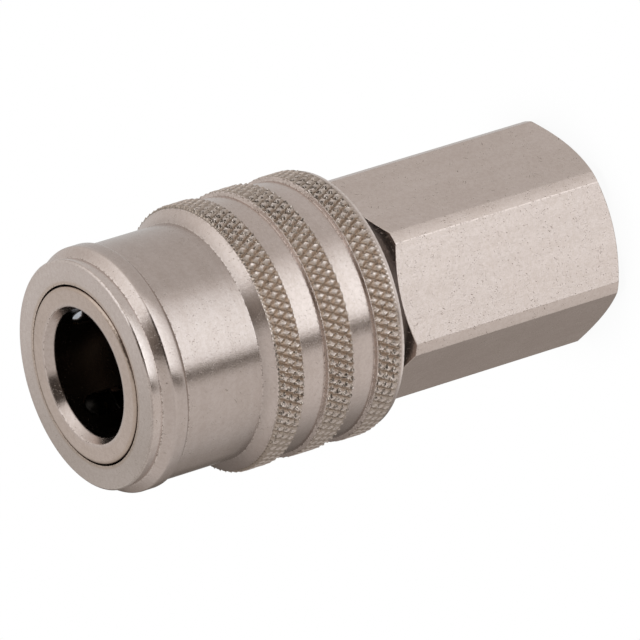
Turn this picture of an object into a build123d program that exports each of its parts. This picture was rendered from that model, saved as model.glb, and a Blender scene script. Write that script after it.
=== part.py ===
from build123d import *
import math
import os

# One half of a quick coupling: the socket that takes the plug of an air line.
# It stands on its hexagonal rear end with the mouth up. Lengths are in millimetres.
# The origin is the centre of the rear face, and +Z is the axis towards the mouth.

os.makedirs("parts", exist_ok=True)

# Overall sizes
overall_length = 53.6
sleeve_setback = 0.15
running_clearance = 0.08
sliding_clearance = 0.05

# Hexagonal adapter
hex_across_flats = 19.0
hex_turned_diameter = 21.26
hex_chamfer_angle = 30.0
hex_rear_face_radius = 9.1
hex_front_corner_height = 23.95
neck_radius = 9.1
adapter_length = 26.95
thread_bore_radius = 6.58
thread_depth = 13.0
thread_entry_chamfer = 0.6
adapter_passage_radius = 5.2
adapter_socket_depth = 9.85
joint_thread_radius = 7.8

# Socket body
mouth_radius = 6.52
mouth_cone_depth = 0.85
plug_bore_radius = 6.05
plug_bore_depth = 10.65
nose_outer_radius = 8.35
nose_length = 1.3
nose_edge_radius = 0.25
body_radius = 7.8
nose_guide_radius = 5.1
nose_guide_end_depth = 19.15
flange_radius = 9.12
flange_depth = 12.45
flange_thickness = 1.45
seal_groove_depth = 13.55
seal_groove_width = 2.8
seal_groove_radius = 6.35
valve_passage_radius = 4.4
valve_passage_length = 1.1
valve_chamber_radius = 6.1
spigot_radius = 6.95
spigot_length = 1.3

# Locking balls and the slots that guide them
ball_count = 4
first_ball_angle = 38.0
ball_radius = 1.5
ball_play = 0.05
ball_depth = 3.55
ball_locked_radius = 7.02
ball_release_travel = 0.53
ball_push_travel = 3.75

# Locking sleeve, from its front face
sleeve_length = 26.8
sleeve_travel = 1.7
lip_radius = 10.85
lip_root_radius = 10.72
lip_length = 1.23
lip_edge = 0.15
collar_radius = 11.6
collar_start = 1.96
collar_end = 3.38
band_radius = 11.24
band_start = 3.75
flare_start = 11.82
flare_end = 12.96
knurl_radius = 12.7
groove_radius = 12.25
knurl_edge = 0.15
knurl_one_end = 15.58
knurl_two_start = 18.15
knurl_two_end = 21.1
knurl_three_start = 23.65
knurl_three_end = 26.12
rear_rim_start = 26.5
rear_rim_radius = 12.38
sleeve_front_bore_radius = 8.51
sleeve_front_bore_length = 0.45
release_recess_radius = 9.13
release_recess_start = 1.05
release_recess_end = 1.85
lock_land_radius = 8.6
lock_land_start = 3.6
lock_land_end = 4.3
sleeve_bore_radius = 9.2
sleeve_bore_start = 4.8
spring_room_radius = 10.3
rear_room_radius = 10.85
rear_room_start = 18.5
snap_groove_radius = 10.95

# Rings and washers round the body
push_ring_outer_radius = 8.52
push_ring_length = 1.25
stop_washer_outer_radius = 10.25
stop_washer_thickness = 0.8
washer_play = 0.15
snap_ring_inner_radius = 9.6
snap_ring_thickness = 0.8
snap_ring_opening = 40.0
rear_washer_outer_radius = 9.9
rear_washer_thickness = 0.8

# Springs
return_spring_wire = 0.4
return_spring_radius = 8.2
return_spring_turns = 4.5
sleeve_spring_wire = 1.1
sleeve_spring_radius = 8.75
sleeve_spring_turns = 5.5
valve_spring_wire = 0.9
valve_spring_radius = 3.6
valve_spring_turns = 6.5
spring_seat_play = 0.02

# Seals
plug_seal_wire = 1.5
plug_seal_inner_radius = 4.82
backup_ring_inner_radius = 5.15
backup_ring_length = 1.0
valve_seal_wire = 1.2
adapter_seal_wire = 0.78
seal_play = 0.03

# Valve
valve_travel = 2.8
valve_nose_radius = 4.3
valve_nose_bore_radius = 3.2
valve_nose_front_depth = 16.95
valve_nose_length = 4.2
valve_nose_wall = 0.6
window_count = 4
window_width = 2.8
window_height = 1.9
valve_boss_length = 1.2
valve_head_radius = 5.6
valve_head_thickness = 1.2
valve_stem_radius = 1.5
valve_stem_end_height = 16.4
guide_rim_radius = 7.7
guide_rim_inner_radius = 5.6
guide_rim_thickness = 1.6
guide_hub_radius = 2.6
guide_hub_length = 3.6
guide_arm_count = 3
guide_arm_width = 1.6

# Heights worked out from the sizes above
sleeve_top = overall_length - sleeve_setback
ball_height = overall_length - ball_depth
flange_top = overall_length - flange_depth
flange_bottom = flange_top - flange_thickness
guide_seat_height = adapter_length - adapter_socket_depth
body_bottom = guide_seat_height + guide_rim_thickness
spigot_top = body_bottom + spigot_length
nose_guide_bottom = overall_length - nose_guide_end_depth
valve_seat_top = nose_guide_bottom - valve_passage_length
valve_seat_bottom = valve_seat_top - (valve_chamber_radius - valve_passage_radius)
seal_groove_top = overall_length - seal_groove_depth
seal_groove_bottom = seal_groove_top - seal_groove_width
stop_washer_top = flange_bottom - sliding_clearance
stop_washer_bottom = stop_washer_top - stop_washer_thickness
snap_ring_bottom = stop_washer_bottom - snap_ring_thickness
rear_washer_top = adapter_length + rear_washer_thickness
push_ring_top = ball_height - ball_radius - sliding_clearance
push_ring_bottom = push_ring_top - push_ring_length
valve_nose_top = overall_length - valve_nose_front_depth
valve_nose_bottom = valve_nose_top - valve_nose_length
valve_head_top = valve_nose_bottom - valve_boss_length
valve_head_bottom = valve_head_top - valve_head_thickness
hex_chamfer_slope = math.tan(math.radians(hex_chamfer_angle))
hex_turned_radius = hex_turned_diameter / 2


def finish(piece, name):
    """Name a finished piece and write it to its own file."""
    piece.part.label = name
    export_step(piece.part, f"parts/{name}.step")
    size = piece.part.bounding_box().size
    print(f"{name}: {piece.part.volume:.1f} mm3, {size.X:.2f} x {size.Y:.2f} x {size.Z:.2f} mm")


def coil(wire, radius, turns, bottom, top):
    """A spring of round wire whose turns stand between two seats."""
    lowest = bottom + wire / 2 + spring_seat_play
    height = top - bottom - wire - 2 * spring_seat_play
    with BuildPart() as spring:
        with BuildLine(Plane.XY.offset(lowest)):
            path = Helix(pitch=height / turns, height=height, radius=radius)
        with BuildSketch(Plane(origin=path @ 0, z_dir=path % 0)):
            Circle(wire / 2)
        sweep(path=path, is_frenet=True)
    return spring


def o_ring(wire, inner_radius, height):
    """A round sealing ring whose middle lies at a height."""
    with BuildPart() as ring:
        with BuildSketch(Plane.XZ):
            with Locations((inner_radius + wire / 2, height)):
                Circle(wire / 2)
        revolve(axis=Axis.Z)
    return ring


def flat_ring(inner_radius, outer_radius, bottom, top):
    """A plain washer between two heights."""
    with BuildPart() as ring:
        with BuildSketch(Plane.XY.offset(bottom)):
            Circle(outer_radius)
            Circle(inner_radius, mode=Mode.SUBTRACT)
        extrude(amount=top - bottom)
    return ring


# Hexagonal adapter: a turned hexagon bar with a round neck under the sleeve, the pipe thread's
# bore behind, and the bore that the socket body screws into in front
rear_chamfer_height = (hex_turned_radius - hex_rear_face_radius) * hex_chamfer_slope
neck_root_height = hex_front_corner_height + (hex_turned_radius - neck_radius) * hex_chamfer_slope
with BuildPart() as hex_adapter:
    with BuildSketch():
        RegularPolygon(radius=hex_across_flats / 2, side_count=6, major_radius=False)
    extrude(amount=adapter_length)
    with BuildSketch(Plane.XZ):
        with BuildLine():
            Polyline(
                (0, 0),
                (hex_rear_face_radius, 0),
                (hex_turned_radius, rear_chamfer_height),
                (hex_turned_radius, hex_front_corner_height),
                (neck_radius, neck_root_height),
                (neck_radius, adapter_length),
                (0, adapter_length),
                close=True,
            )
        make_face()
    revolve(axis=Axis.Z, mode=Mode.INTERSECT)
    with BuildSketch(Plane.XZ):
        with BuildLine():
            Polyline(
                (0, 0),
                (thread_bore_radius + thread_entry_chamfer, 0),
                (thread_bore_radius, thread_entry_chamfer),
                (thread_bore_radius, thread_depth),
                (adapter_passage_radius, thread_depth + thread_bore_radius - adapter_passage_radius),
                (adapter_passage_radius, guide_seat_height),
                (joint_thread_radius, guide_seat_height),
                (joint_thread_radius, adapter_length),
                (0, adapter_length),
                close=True,
            )
        make_face()
    revolve(axis=Axis.Z, mode=Mode.SUBTRACT)
finish(hex_adapter, "hex_adapter")

# Socket body: mouth, ball slots, plug guide, seal groove, valve seat and rear spigot
bore_cone_bottom = overall_length - plug_bore_depth - (plug_bore_radius - nose_guide_radius)
nose_shelf = overall_length - nose_length
with BuildPart() as socket_body:
    with BuildSketch(Plane.XZ):
        with BuildLine():
            Polyline(
                (mouth_radius, overall_length),
                (nose_outer_radius, overall_length),
                (nose_outer_radius, nose_shelf),
                (body_radius, nose_shelf),
                (body_radius, flange_top),
                (flange_radius, flange_top),
                (flange_radius, flange_bottom),
                (body_radius, flange_bottom),
                (body_radius, adapter_length),
                (joint_thread_radius - sliding_clearance, adapter_length),
                (joint_thread_radius - sliding_clearance, spigot_top),
                (spigot_radius, spigot_top),
                (spigot_radius, body_bottom),
                (valve_chamber_radius, body_bottom),
                (valve_chamber_radius, valve_seat_bottom),
                (valve_passage_radius, valve_seat_top),
                (valve_passage_radius, nose_guide_bottom),
                (nose_guide_radius, nose_guide_bottom),
                (nose_guide_radius, seal_groove_bottom),
                (seal_groove_radius, seal_groove_bottom),
                (seal_groove_radius, seal_groove_top),
                (nose_guide_radius, seal_groove_top),
                (nose_guide_radius, bore_cone_bottom),
                (plug_bore_radius, overall_length - plug_bore_depth),
                (plug_bore_radius, overall_length - mouth_cone_depth),
                close=True,
            )
        make_face()
    revolve(axis=Axis.Z)
    top_edges = socket_body.edges().filter_by(GeomType.CIRCLE).group_by(Axis.Z)[-1]
    fillet(top_edges.sort_by(SortBy.RADIUS)[-1], radius=nose_edge_radius)
    slot_length = ball_push_travel + ball_play
    slot_radius = ball_radius + ball_play
    for index in range(ball_count):
        angle = math.radians(first_ball_angle + index * 360 / ball_count)
        outward = Vector(math.cos(angle), math.sin(angle), 0)
        middle = outward * ball_locked_radius + Vector(0, 0, ball_height - slot_length / 2)
        with BuildSketch(Plane(origin=middle, x_dir=(0, 0, 1), z_dir=outward)):
            SlotCenterToCenter(slot_length, 2 * slot_radius)
        extrude(amount=nose_outer_radius - ball_locked_radius, mode=Mode.SUBTRACT)
        with Locations(middle):
            Cylinder(slot_radius, slot_length, mode=Mode.SUBTRACT)
        with Locations(middle + Vector(0, 0, slot_length / 2), middle - Vector(0, 0, slot_length / 2)):
            Sphere(slot_radius, mode=Mode.SUBTRACT)
finish(socket_body, "socket_body")

# Locking balls, held in by the sleeve's land
for index in range(ball_count):
    angle = math.radians(first_ball_angle + index * 360 / ball_count)
    with BuildPart() as locking_ball:
        with Locations((ball_locked_radius * math.cos(angle), ball_locked_radius * math.sin(angle), ball_height)):
            Sphere(ball_radius)
    finish(locking_ball, f"locking_ball_{index + 1}")

# Locking sleeve: turned all over, with three bands for the knurl and smooth grooves between them
outer_steps = [
    (lip_radius - lip_edge, 0),
    (lip_radius, lip_edge),
    (lip_root_radius, lip_length),
    (collar_radius, collar_start),
    (collar_radius, collar_end),
    (band_radius, band_start),
    (band_radius, flare_start),
    (knurl_radius, flare_end),
    (knurl_radius, knurl_one_end - knurl_edge / 2),
    (groove_radius, knurl_one_end),
    (groove_radius, knurl_two_start - knurl_edge),
    (knurl_radius, knurl_two_start),
    (knurl_radius, knurl_two_end - knurl_edge / 2),
    (groove_radius, knurl_two_end),
    (groove_radius, knurl_three_start - knurl_edge),
    (knurl_radius, knurl_three_start),
    (knurl_radius, knurl_three_end),
    (rear_rim_radius, rear_rim_start),
    (rear_rim_radius, sleeve_length),
]
washer_step = sleeve_top - stop_washer_top
snap_groove_start = sleeve_top - stop_washer_bottom - sliding_clearance
snap_groove_end = sleeve_top - snap_ring_bottom + sliding_clearance
inner_steps = [
    (rear_room_radius, sleeve_length),
    (rear_room_radius, rear_room_start),
    (spring_room_radius, rear_room_start - (rear_room_radius - spring_room_radius)),
    (spring_room_radius, snap_groove_end),
    (snap_groove_radius, snap_groove_end),
    (snap_groove_radius, snap_groove_start),
    (spring_room_radius, snap_groove_start),
    (spring_room_radius, washer_step),
    (sleeve_bore_radius, washer_step),
    (sleeve_bore_radius, sleeve_bore_start),
    (lock_land_radius, lock_land_end),
    (lock_land_radius, lock_land_start),
    (release_recess_radius, release_recess_end),
    (release_recess_radius, release_recess_start),
    (sleeve_front_bore_radius, sleeve_front_bore_length),
    (sleeve_front_bore_radius, 0),
]
with BuildPart() as locking_sleeve:
    with BuildSketch(Plane.XZ):
        with BuildLine():
            Polyline(*[(radius, sleeve_top - depth) for radius, depth in outer_steps + inner_steps], close=True)
        make_face()
    revolve(axis=Axis.Z)
finish(locking_sleeve, "locking_sleeve")

# Ring and light spring behind the balls, which let them give way to the plug's collar
ball_push_ring = flat_ring(body_radius + sliding_clearance, push_ring_outer_radius, push_ring_bottom, push_ring_top)
finish(ball_push_ring, "ball_push_ring")
ball_return_spring = coil(
    return_spring_wire, return_spring_radius, return_spring_turns, flange_top, push_ring_bottom
)
finish(ball_return_spring, "ball_return_spring")

# Washer that stops the sleeve against the body's flange, and the ring that holds it in the sleeve
washer_inner_radius = body_radius + washer_play
stop_washer = flat_ring(washer_inner_radius, stop_washer_outer_radius, stop_washer_bottom, stop_washer_top)
finish(stop_washer, "sleeve_stop_washer")
half_opening = math.radians(snap_ring_opening / 2)
opening_reach = 2 * snap_groove_radius
with BuildPart() as snap_ring:
    with BuildSketch(Plane.XY.offset(snap_ring_bottom)):
        Circle(snap_groove_radius - sliding_clearance)
        Circle(snap_ring_inner_radius, mode=Mode.SUBTRACT)
        with BuildLine():
            Polyline(
                (0, 0),
                (opening_reach * math.cos(half_opening), -opening_reach * math.sin(half_opening)),
                (opening_reach * math.cos(half_opening), opening_reach * math.sin(half_opening)),
                close=True,
            )
        make_face(mode=Mode.SUBTRACT)
    extrude(amount=snap_ring_thickness)
finish(snap_ring, "sleeve_snap_ring")

# Sleeve spring and the washer that it stands on
rear_washer = flat_ring(washer_inner_radius, rear_washer_outer_radius, adapter_length, rear_washer_top)
finish(rear_washer, "rear_spring_washer")
sleeve_spring = coil(
    sleeve_spring_wire, sleeve_spring_radius, sleeve_spring_turns, rear_washer_top, stop_washer_bottom
)
finish(sleeve_spring, "sleeve_spring")

# Plug seal with its backup ring behind it
plug_seal_height = seal_groove_top - plug_seal_wire / 2 - seal_play
plug_seal = o_ring(plug_seal_wire, plug_seal_inner_radius, plug_seal_height)
finish(plug_seal, "plug_seal")
backup_ring = flat_ring(
    backup_ring_inner_radius,
    seal_groove_radius - seal_play,
    seal_groove_bottom,
    seal_groove_bottom + backup_ring_length,
)
finish(backup_ring, "seal_backup_ring")

# Valve nose: a tube closed at its rear, with windows that open into the valve chamber
with BuildPart() as valve_nose:
    with BuildSketch(Plane.XZ):
        with BuildLine():
            Polyline(
                (valve_nose_bore_radius, valve_nose_top),
                (valve_nose_radius, valve_nose_top),
                (valve_nose_radius, valve_nose_bottom),
                (0, valve_nose_bottom),
                (0, valve_nose_bottom + valve_nose_wall),
                (valve_nose_bore_radius, valve_nose_bottom + valve_nose_wall),
                close=True,
            )
        make_face()
    revolve(axis=Axis.Z)
    window_middle = valve_nose_bottom + valve_nose_wall + window_height / 2
    with PolarLocations(0, window_count):
        with Locations((valve_nose_radius, 0, window_middle)):
            Box(valve_nose_radius, window_width, window_height, mode=Mode.SUBTRACT)
finish(valve_nose, "valve_nose")

# Valve stem: the head that carries the seal, and the rod that runs in the guide
with BuildPart() as valve_stem:
    with BuildSketch(Plane.XZ):
        with BuildLine():
            Polyline(
                (0, valve_nose_bottom),
                (valve_nose_radius, valve_nose_bottom),
                (valve_nose_radius, valve_head_top),
                (valve_head_radius, valve_head_top),
                (valve_head_radius, valve_head_bottom),
                (valve_stem_radius, valve_head_bottom),
                (valve_stem_radius, valve_stem_end_height),
                (0, valve_stem_end_height),
                close=True,
            )
        make_face()
    revolve(axis=Axis.Z)
    chamfer(valve_stem.edges().group_by(Axis.Z)[0], length=valve_stem_radius / 4)
finish(valve_stem, "valve_stem")
valve_seal = o_ring(valve_seal_wire, valve_nose_radius + seal_play, valve_head_top + valve_seal_wire / 2 + seal_play)
finish(valve_seal, "valve_seal")

# Valve guide: a hub on three arms inside a rim that the body's end clamps
with BuildPart() as valve_guide:
    with BuildSketch(Plane.XY.offset(guide_seat_height)):
        Circle(guide_rim_radius)
        Circle(guide_rim_inner_radius, mode=Mode.SUBTRACT)
        with PolarLocations(guide_rim_inner_radius / 2, guide_arm_count):
            Rectangle(guide_rim_inner_radius + guide_arm_width, guide_arm_width)
    extrude(amount=guide_rim_thickness)
    with BuildSketch(Plane.XY.offset(guide_seat_height)):
        Circle(guide_hub_radius)
    extrude(amount=guide_hub_length)
    with BuildSketch(Plane.XY.offset(guide_seat_height)):
        Circle(valve_stem_radius + running_clearance)
    extrude(amount=guide_hub_length, mode=Mode.SUBTRACT)
finish(valve_guide, "valve_guide")
valve_spring = coil(valve_spring_wire, valve_spring_radius, valve_spring_turns, body_bottom, valve_head_bottom)
finish(valve_spring, "valve_spring")

# Seal between the body and the adapter
adapter_seal_height = body_bottom + spigot_length / 2
adapter_seal = o_ring(adapter_seal_wire, spigot_radius + seal_play, adapter_seal_height)
finish(adapter_seal, "adapter_seal")
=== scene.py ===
import math
import random

import bmesh
import bpy
from bpy.props import FloatProperty, FloatVectorProperty, IntProperty, PointerProperty
from mathutils import Matrix, Vector


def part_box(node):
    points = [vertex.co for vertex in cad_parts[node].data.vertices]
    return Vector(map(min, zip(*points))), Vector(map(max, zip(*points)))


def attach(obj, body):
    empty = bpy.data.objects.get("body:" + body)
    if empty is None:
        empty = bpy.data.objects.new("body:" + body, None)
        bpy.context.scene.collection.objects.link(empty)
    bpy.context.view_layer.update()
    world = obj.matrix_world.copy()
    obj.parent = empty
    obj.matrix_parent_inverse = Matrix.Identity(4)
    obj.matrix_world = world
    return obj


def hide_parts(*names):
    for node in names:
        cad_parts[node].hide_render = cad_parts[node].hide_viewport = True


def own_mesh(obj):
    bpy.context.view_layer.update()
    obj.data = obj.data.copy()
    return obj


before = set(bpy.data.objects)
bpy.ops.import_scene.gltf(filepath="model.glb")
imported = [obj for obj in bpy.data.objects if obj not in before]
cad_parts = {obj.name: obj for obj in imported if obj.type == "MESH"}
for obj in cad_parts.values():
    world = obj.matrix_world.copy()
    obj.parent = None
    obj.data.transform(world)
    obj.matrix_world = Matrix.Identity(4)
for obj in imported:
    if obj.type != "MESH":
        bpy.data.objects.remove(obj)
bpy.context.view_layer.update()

bl_info = {
    "name": "Quick coupling",
    "version": (1, 0, 0),
    "blender": (4, 5, 0),
    "location": "3D View > Sidebar > Coupling",
    "description": "Dresses the socket half of an air-line quick coupling",
    "category": "Object",
}

MM = 0.001
SLEEVE_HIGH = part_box("locking_sleeve")[1]
ADAPTER_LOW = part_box("hex_adapter")[0]
# Points nearer to each other than this are merged, in metres
MERGE_DISTANCE = 1e-7
# Steps in one turn of the thread and of each spring
STEPS_PER_TURN = 48


# User sizes and colours


class CouplingSettings(bpy.types.PropertyGroup):
    """Sizes and colours that a user of the coupling would change."""

    ring_steps: IntProperty(
        name="Steps round", description="Number of facets round a turned piece", default=240, min=48)
    knurl_count: IntProperty(
        name="Diamonds round", description="Number of diamonds in one row of the knurl", default=86, min=20)
    knurl_angle: FloatProperty(
        name="Knurl angle", description="Angle between the knurl's grooves and the axis",
        default=math.radians(30.0), subtype="ANGLE", unit="ROTATION")
    knurl_depth: FloatProperty(
        name="Knurl depth", description="Depth of the knurl's grooves", default=0.29 * MM, unit="LENGTH")
    thread_pitch: FloatProperty(
        name="Thread pitch", description="Distance between two turns of the pipe thread",
        default=1.337 * MM, unit="LENGTH")
    thread_height: FloatProperty(
        name="Thread height", description="Height of the pipe thread's ridge above the bore",
        default=0.84 * MM, unit="LENGTH")
    nickel_color: FloatVectorProperty(
        name="Nickel", description="Colour of the nickel plating", default=(0.62, 0.525, 0.475),
        subtype="COLOR", min=0.0, max=1.0)
    brass_color: FloatVectorProperty(
        name="Brass", description="Colour of the bare turned brass", default=(0.68, 0.47, 0.2),
        subtype="COLOR", min=0.0, max=1.0)
    steel_color: FloatVectorProperty(
        name="Steel", description="Colour of the springs and washers", default=(0.42, 0.42, 0.43),
        subtype="COLOR", min=0.0, max=1.0)
    rubber_color: FloatVectorProperty(
        name="Rubber", description="Colour of the seals", default=(0.018, 0.017, 0.016),
        subtype="COLOR", min=0.0, max=1.0)
    view_azimuth: FloatProperty(
        name="View azimuth", description="Direction of the camera round the axis",
        default=math.radians(-80.134), subtype="ANGLE", unit="ROTATION")
    view_elevation: FloatProperty(
        name="View elevation", description="Angle of the camera above the rear face",
        default=math.radians(31.175), subtype="ANGLE", unit="ROTATION")
    view_roll: FloatProperty(
        name="View roll", description="Turn of the camera about its own line of sight",
        default=math.radians(-107.233), subtype="ANGLE", unit="ROTATION")
    view_distance: FloatProperty(
        name="View distance", description="Distance of the camera from the coupling",
        default=848.6 * MM, unit="LENGTH")
    studio_level: FloatProperty(
        name="Studio light", description="Level of the light that the studio's walls give",
        default=0.67, min=0.0)


def settings():
    """The coupling's settings in this scene."""
    return bpy.context.scene.coupling


# Shader helpers


def shader_node(tree, kind, inputs=None, **attributes):
    """Add a node, set its attributes, and give its inputs a value or link them to a socket."""
    new = tree.nodes.new(kind)
    for name, value in attributes.items():
        setattr(new, name, value)
    for name, value in (inputs or {}).items():
        if isinstance(value, bpy.types.NodeSocket):
            tree.links.new(value, new.inputs[name])
        else:
            new.inputs[name].default_value = value
    return new


def feed(tree, node, **values):
    """Link sockets to a node's inputs, which are named with _ for each space."""
    for label, value in values.items():
        tree.links.new(value, node.inputs[label.replace("_", " ")])


def math_node(tree, operation, first, second=0.5, third=0.5):
    """The output of a math node."""
    new = shader_node(tree, "ShaderNodeMath", {0: first, 1: second, 2: third}, operation=operation)
    return new.outputs[0]


def times(tree, first, second):
    """The product of two values."""
    return math_node(tree, "MULTIPLY", first, second)


def times_plus(tree, first, second, third):
    """The first value times the second, plus the third."""
    return math_node(tree, "MULTIPLY_ADD", first, second, third)


def dot_product(tree, first, second):
    """The dot product of two vectors."""
    new = shader_node(tree, "ShaderNodeVectorMath", {0: first, 1: second}, operation="DOT_PRODUCT")
    return new.outputs["Value"]


def smooth_step(tree, value, low, high, start=0.0, end=1.0):
    """A value that eases from start to end as the input goes from low to high."""
    new = shader_node(
        tree, "ShaderNodeMapRange",
        {"Value": value, "From Min": low, "From Max": high, "To Min": start, "To Max": end},
        interpolation_type="SMOOTHSTEP")
    return new.outputs["Result"]


def noise(tree, place, scale, detail=2.0, roughness=0.5, distortion=0.0, output="Fac"):
    """Noise with so many waves to each unit of the place."""
    new = shader_node(
        tree, "ShaderNodeTexNoise",
        {"Vector": place, "Scale": scale, "Detail": detail, "Roughness": roughness,
         "Distortion": distortion})
    return new.outputs[output]


def mix_value(tree, factor, first, second):
    """A value between two others."""
    new = shader_node(
        tree, "ShaderNodeMix", {"Factor": factor, "A": first, "B": second}, data_type="FLOAT")
    return new.outputs["Result"]


def mix_color(tree, factor, first, second, blend="MIX"):
    """A colour between two others, or with MULTIPLY the first one times the second."""
    new = shader_node(
        tree, "ShaderNodeMix", {"Factor": factor, "A": first, "B": second}, data_type="RGBA",
        blend_type=blend)
    return new.outputs["Result"]


def tinted(color, factors):
    """A colour times a factor for each of its parts, none of them over 1, with an alpha of 1."""
    return tuple(min(1.0, part * factor) for part, factor in zip(color, factors)) + (1.0,)


def set_bump(tree, shader, height, strength=1.0, **normal):
    """Give the shader a bumped normal from a height in millimetres."""
    inputs = {"Strength": strength, "Distance": MM, "Height": height, **normal}
    bump = shader_node(tree, "ShaderNodeBump", inputs)
    feed(tree, shader, Normal=bump.outputs["Normal"])


def new_group(name, inputs, outputs, normals=()):
    """A shader node group with named inputs and outputs."""
    group = bpy.data.node_groups.new(name, "ShaderNodeTree")
    for label, default in inputs.items():
        socket = group.interface.new_socket(label, in_out="INPUT", socket_type="NodeSocketFloat")
        socket.default_value = default
    for label in outputs:
        group.interface.new_socket(label, in_out="OUTPUT", socket_type="NodeSocketFloat")
    for label in normals:
        group.interface.new_socket(label, in_out="OUTPUT", socket_type="NodeSocketVector")
    return group, group.nodes.new("NodeGroupInput"), group.nodes.new("NodeGroupOutput")


def place_group(tree, name, **values):
    """Put a node group in a material with its own values."""
    placed = shader_node(tree, "ShaderNodeGroup", node_tree=bpy.data.node_groups[name])
    for label, value in values.items():
        placed.inputs[label.replace("_", " ")].default_value = value
    return placed


def new_material(name, metallic=1.0):
    """An empty node material with a Principled shader on its output."""
    material = bpy.data.materials.new(name)
    material.use_nodes = True
    tree = material.node_tree
    tree.nodes.clear()
    shader = shader_node(tree, "ShaderNodeBsdfPrincipled", {"Metallic": metallic})
    output = tree.nodes.new("ShaderNodeOutputMaterial")
    tree.links.new(shader.outputs["BSDF"], output.inputs["Surface"])
    return material, tree, shader


# Shader node groups


def object_millimetres(tree):
    """Object coordinates in millimetres."""
    place = tree.nodes.new("ShaderNodeTexCoord").outputs["Object"]
    scaled = shader_node(tree, "ShaderNodeVectorMath", {0: place, "Scale": 1000.0}, operation="SCALE")
    return scaled.outputs["Vector"]


def radius_and_height(tree):
    """Distance from the coupling's axis, height above its rear face, and place on X, in millimetres."""
    parts = shader_node(tree, "ShaderNodeSeparateXYZ", {0: object_millimetres(tree)}).outputs
    flat = shader_node(tree, "ShaderNodeCombineXYZ", {"X": parts["X"], "Y": parts["Y"]})
    length = shader_node(tree, "ShaderNodeVectorMath", {0: flat.outputs["Vector"]}, operation="LENGTH")
    return length.outputs["Value"], parts["Z"], parts["X"]


def build_turning_marks():
    """Fine rings that a lathe tool leaves: rings round a cylinder, circles on a face."""
    tree, entry, result = new_group(
        "turning marks", {"Rings per mm": 6.0, "Waviness": 0.08}, ["Height", "Shade"])
    radius, height, side = radius_and_height(tree)
    across = times(tree, radius, entry.outputs["Rings per mm"])
    along = times(tree, height, entry.outputs["Rings per mm"])
    drift = times(tree, side, entry.outputs["Waviness"])
    place = shader_node(
        tree, "ShaderNodeCombineXYZ", {"X": across, "Y": along, "Z": drift}).outputs["Vector"]
    fine = noise(tree, place, 1.0, 3.0, 0.65)
    broad = noise(tree, place, 0.17)
    feed(tree, result, Height=fine, Shade=broad)


def build_satin_grain():
    """The even, fine grain of a plated surface, with faint cloudy patches and a slight ripple."""
    tree, entry, result = new_group(
        "satin grain", {"Grain per mm": 9.0, "Cloud mm": 4.0}, ["Grain", "Cloud", "Ripple"])
    place = object_millimetres(tree)
    grain = noise(tree, place, entry.outputs["Grain per mm"], 4.0, 0.7)
    wide = math_node(tree, "DIVIDE", 1.0, entry.outputs["Cloud mm"])
    cloud = noise(tree, place, wide, 5.0, 0.6, 0.6)
    ripple = noise(tree, place, 2.6, 3.0, 0.6)
    feed(tree, result, Grain=grain, Cloud=cloud, Ripple=ripple)


def moved(tree, place, push, reach):
    """A place pushed by a noise colour, with so much reach."""
    new = shader_node(
        tree, "ShaderNodeVectorMath", {0: push, 1: (reach, reach, reach), 2: place},
        operation="MULTIPLY_ADD")
    return new.outputs["Vector"]


def cells(tree, place, scale):
    """Distance to the nearest of some scattered points, and that point's own random colour."""
    points = shader_node(tree, "ShaderNodeTexVoronoi", {"Vector": place, "Scale": scale}, feature="F1")
    chance = shader_node(tree, "ShaderNodeSeparateColor", {0: points.outputs["Color"]})
    return points.outputs["Distance"], chance.outputs["Red"], chance.outputs["Green"]


def build_handling_marks():
    """Small pits and short scratches from handling, as masks of 0 to 1."""
    tree, entry, result = new_group(
        "handling marks", {"Pits per mm": 1.1, "Pit size": 0.1, "Scratches": 0.5}, ["Pits", "Scratches"])
    place = object_millimetres(tree)
    ragged = moved(tree, place, noise(tree, place, 7.0, output="Color"), 0.36)
    distance, chosen, varied = cells(tree, ragged, entry.outputs["Pits per mm"])
    often = smooth_step(tree, chosen, 0.78, 0.84)
    size = times(tree, entry.outputs["Pit size"], times_plus(tree, varied, 0.65, 0.35))
    dot = smooth_step(tree, distance, times(tree, size, 0.5), size, 1.0, 0.0)
    feed(tree, result, Pits=times(tree, often, dot))
    total = None
    for index, turn in enumerate((0.35, 1.15, 2.2, 2.75)):
        turned = shader_node(
            tree, "ShaderNodeMapping",
            {"Vector": place, "Rotation": (turn, 0.7 * turn + 0.3, 1.9 * turn),
             "Location": (3.7 * index, 9.1 * index, 0.0)},
            vector_type="POINT").outputs["Vector"]
        bent = moved(tree, turned, noise(tree, turned, 0.8, 1.0, output="Color"), 0.5)
        drawn = shader_node(
            tree, "ShaderNodeMapping", {"Vector": bent, "Scale": (0.6, 5.5, 5.5)}, vector_type="POINT")
        distance, chosen = cells(tree, drawn.outputs["Vector"], 1.0)[:2]
        thin = smooth_step(tree, distance, 0.1, 0.2, 1.0, 0.0)
        scratch = times(tree, thin, smooth_step(tree, chosen, 0.82, 0.88))
        total = scratch if total is None else math_node(tree, "MAXIMUM", total, scratch)
    feed(tree, result, Scratches=times(tree, total, entry.outputs["Scratches"]))


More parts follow.
